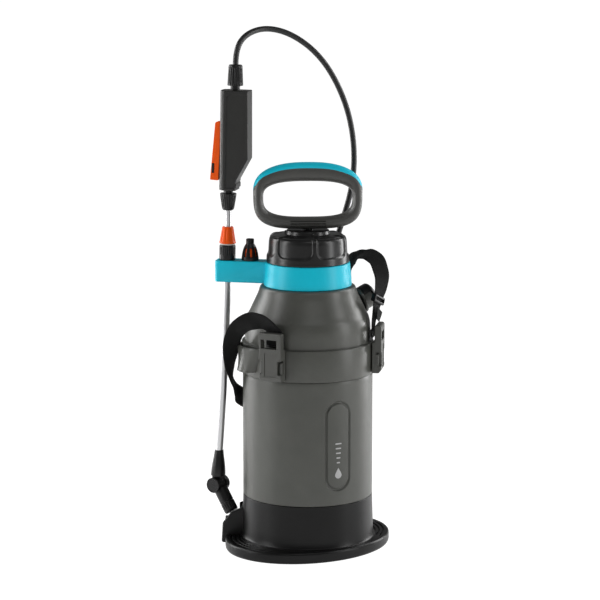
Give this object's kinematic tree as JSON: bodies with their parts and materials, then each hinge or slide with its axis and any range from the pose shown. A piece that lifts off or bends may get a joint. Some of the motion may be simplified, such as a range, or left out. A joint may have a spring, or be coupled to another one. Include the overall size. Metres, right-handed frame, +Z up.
{
  "type": "compression sprayer",
  "caption": "Hand-pumped pressure sprayer: round tank on a foot plate, D-grip pump, spray gun and parked telescopic lance, hose and shoulder strap.",
  "frame": {"origin": "on the tank's axis at the underside of the foot plate", "axes": "+Z up, -Y the tank's front with the outlined panel, -X the side of the gun and parked lance"},
  "size_m": [0.2309, 0.1928, 0.6783],
  "materials": {
    "black_base": "satin injection moulding",
    "tank_grey": "satin blow moulding, warm dark grey",
    "belt_grey": "satin moulding, warm dark grey",
    "lug_grey": "satin moulding, warm dark grey",
    "collar_cyan": "satin-gloss bright blue",
    "cap_black": "semi-gloss black",
    "grip_grey": "soft-touch dark grey",
    "inlay_cyan": "soft-touch bright blue",
    "gun_grey": "fine-textured near-black grey",
    "nut_black": "ribbed black moulding",
    "signal_orange": "satin-gloss orange",
    "lance_aluminium": "drawn and polished",
    "natural_plastic": "natural white",
    "hose_black": "smooth black hose",
    "strap_black": "black woven webbing",
    "seal_rubber": "black seal rubber",
    "steel": "spring steel",
    "screw_steel": "zinc-plated"
  },
  "bodies": {
    "tank": {"foot_plate": "black_base", "tank_shell": "tank_grey", "belt_ring": "belt_grey", "strap_lug_left": "lug_grey", "strap_lug_right": "lug_grey", "collar": "collar_cyan", "neck_gasket": "seal_rubber", "relief_boss": "lug_grey", "relief_spring": "steel", "hose_union": "natural_plastic", "union_nut": "nut_black", "dip_tube": "natural_plastic", "dip_filter": "natural_plastic", "shoulder_strap": "strap_black", "strap_tail": "strap_black", "strap_adjuster": "nut_black", "lance_outer_tube": "lance_aluminium", "clamp_collar": "nut_black", "clamp_collet": "natural_plastic", "elbow_body": "nut_black", "elbow_pin": "steel"},
    "pump": {"pump_barrel": "natural_plastic", "rod_guide": "natural_plastic", "foot_valve": "seal_rubber"},
    "cap": {"pump_cap": "cap_black"},
    "plunger": {"pump_rod": "nut_black", "piston": "natural_plastic", "piston_seal": "seal_rubber", "handle_grip": "grip_grey", "handle_inlay": "inlay_cyan"},
    "gun": {"gun_shell_front": "gun_grey", "gun_shell_back": "gun_grey", "gun_screws": "screw_steel", "gun_valve": "nut_black", "trigger_pin": "steel", "trigger_spring": "steel", "hose_nut": "nut_black", "lance_nut": "nut_black", "lance_inner_tube": "lance_aluminium", "hose": "hose_black"},
    "trigger": {"trigger": "signal_orange"},
    "trigger_lock": {"trigger_lock": "nut_black"},
    "valve_stem": {"valve_stem": "steel"},
    "clamp_nut": {"clamp_nut": "signal_orange"},
    "nozzle_arm": {"nozzle_arm": "nut_black"},
    "nozzle_cap": {"nozzle_cap": "nut_black"},
    "relief_knob": {"relief_knob": "nut_black", "relief_stem": "natural_plastic"},
    "spare_nozzle": {"spare_nozzle": "nut_black", "spare_insert": "signal_orange"}
  },
  "joints": [
    {"name": "pump_lift", "type": "slide", "parent": "tank", "child": "pump", "axis": [0, 0, 1], "range_m": [0, 0.3]},
    {"name": "cap_turn", "type": "hinge", "parent": "pump", "child": "cap", "pos_m": [0, 0, 0.39], "axis": [0, 0, 1], "continuous": true},
    {"name": "pump_stroke", "type": "slide", "parent": "pump", "child": "plunger", "axis": [0, 0, 1], "range_m": [0, 0.16]},
    {"name": "lance_extend", "type": "slide", "parent": "tank", "child": "gun", "axis": [0.0152, -0.0117, 0.9998], "range_m": [0, 0.045]},
    {"name": "trigger_squeeze", "type": "hinge", "parent": "gun", "child": "trigger", "pos_m": [-0.08753, 0.06716, 0.5527], "axis": [-0.6088, -0.7934, 0], "range_deg": [0, 6], "stiffness_Nm_per_rad": 0.6, "springref_deg": -17.19},
    {"name": "trigger_lock_slide", "type": "slide", "parent": "trigger", "child": "trigger_lock", "axis": [-0.6088, -0.7934, 0], "range_m": [0, 0.003]},
    {"name": "valve_stem_slide", "type": "slide", "parent": "gun", "child": "valve_stem", "axis": [0.7932, -0.6086, -0.0192], "range_m": [0, 0.0038]},
    {"name": "clamp_turn", "type": "hinge", "parent": "tank", "child": "clamp_nut", "pos_m": [-0.08466, 0.06496, 0.4026], "axis": [0.0152, -0.0117, 0.9998], "range_deg": [0, 120]},
    {"name": "elbow_tilt", "type": "hinge", "parent": "tank", "child": "nozzle_arm", "pos_m": [-0.09623, 0.07384, 0.075], "axis": [0.8572, 0.515, 0], "range_deg": [0, 75]},
    {"name": "nozzle_turn", "type": "hinge", "parent": "nozzle_arm", "child": "nozzle_cap", "pos_m": [-0.09623, 0.07384, 0.075], "axis": [0.2775, -0.4618, -0.8424], "continuous": true},
    {"name": "relief_pull", "type": "slide", "parent": "tank", "child": "relief_knob", "axis": [0.9107, 0, 0.4131], "range_m": [0, 0.004], "stiffness_N_per_m": 1200, "springref_m": -0.004},
    {"name": "spare_nozzle_lift", "type": "slide", "parent": "tank", "child": "spare_nozzle", "axis": [0, 0, 1], "range_m": [0, 0.04]}
  ],
  "couplings": [
    {"joint": "valve_stem_slide", "follows": "trigger_squeeze", "m_per_rad": 0.035}
  ]
}
